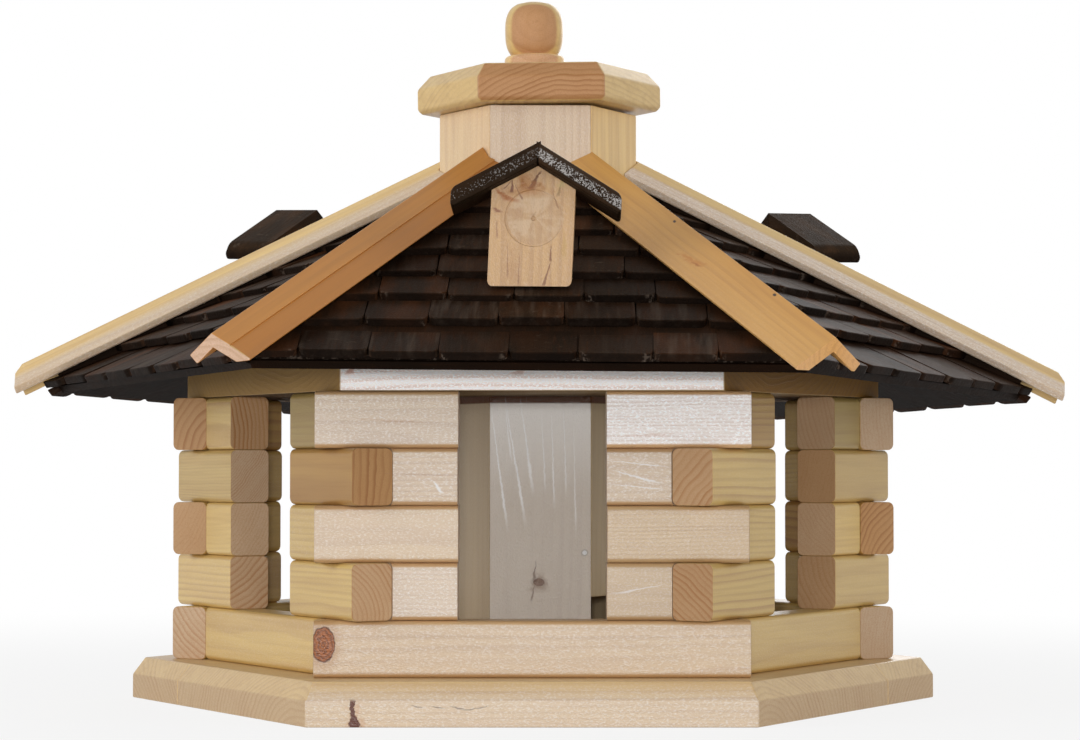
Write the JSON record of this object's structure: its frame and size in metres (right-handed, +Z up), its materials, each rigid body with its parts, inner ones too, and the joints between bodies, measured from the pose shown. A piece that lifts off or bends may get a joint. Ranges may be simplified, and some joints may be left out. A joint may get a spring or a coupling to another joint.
{
  "type": "bird feeder house",
  "caption": "Hexagonal log-cabin bird feeder with open doorways, shingled roof with hip strips and gabled dormers, and a central seed silo with a knobbed lift-off lid.",
  "frame": {"origin": "centre of the six-sided floor's underside", "axes": "+Z up, front doorway facing -Y, corners of the floor on the X axis"},
  "size_m": [0.6299, 0.563, 0.4184],
  "materials": {
    "pine_board": "varnished",
    "pine_log": "varnished",
    "silo_pine": "varnished",
    "stained_shingle": "dark stain, satin",
    "strip_pine": "varnished",
    "strip_pine_warm": "varnished",
    "gable_pine": "varnished",
    "lid_pine": "varnished"
  },
  "bodies": {
    "house": {"floor_board_front": "pine_board", "floor_board_middle": "pine_board", "floor_board_back": "pine_board", "long_sills": "pine_log", "short_sills": "pine_log", "front_long_logs": "pine_log", "front_right_long_logs": "pine_log", "back_right_long_logs": "pine_log", "back_long_logs": "pine_log", "back_left_long_logs": "pine_log", "front_left_long_logs": "pine_log", "front_short_logs": "pine_log", "front_right_short_logs": "pine_log", "back_right_short_logs": "pine_log", "back_short_logs": "pine_log", "back_left_short_logs": "pine_log", "front_left_short_logs": "pine_log", "ceiling": "pine_board", "curb_under_dormers": "pine_board", "curb_plain_sides": "pine_board", "silo_board_front": "silo_pine", "silo_board_front_right": "silo_pine", "silo_board_back_right": "silo_pine", "silo_board_back": "silo_pine", "silo_board_back_left": "silo_pine", "silo_board_front_left": "silo_pine", "boarding_under_dormers": "pine_board", "boarding_plain_sides": "pine_board", "shingles_under_dormers": "stained_shingle", "shingles_plain_sides": "stained_shingle", "hip_strip_front": "strip_pine", "hip_strip_front_right": "strip_pine", "hip_strip_back_right": "strip_pine", "hip_strip_back": "strip_pine", "hip_strip_back_left": "strip_pine", "hip_strip_front_left": "strip_pine_warm", "dormer_gables": "gable_pine", "dormer_boards_left": "stained_shingle", "dormer_boards_right": "stained_shingle"},
    "lid": {"lid_cap": "lid_pine", "lid_plug": "lid_pine", "lid_knob": "lid_pine"}
  },
  "joints": [
    {"name": "lid_lift", "type": "slide", "parent": "house", "child": "lid", "axis": [0, 0, 1], "range_m": [0, 0.12]}
  ]
}
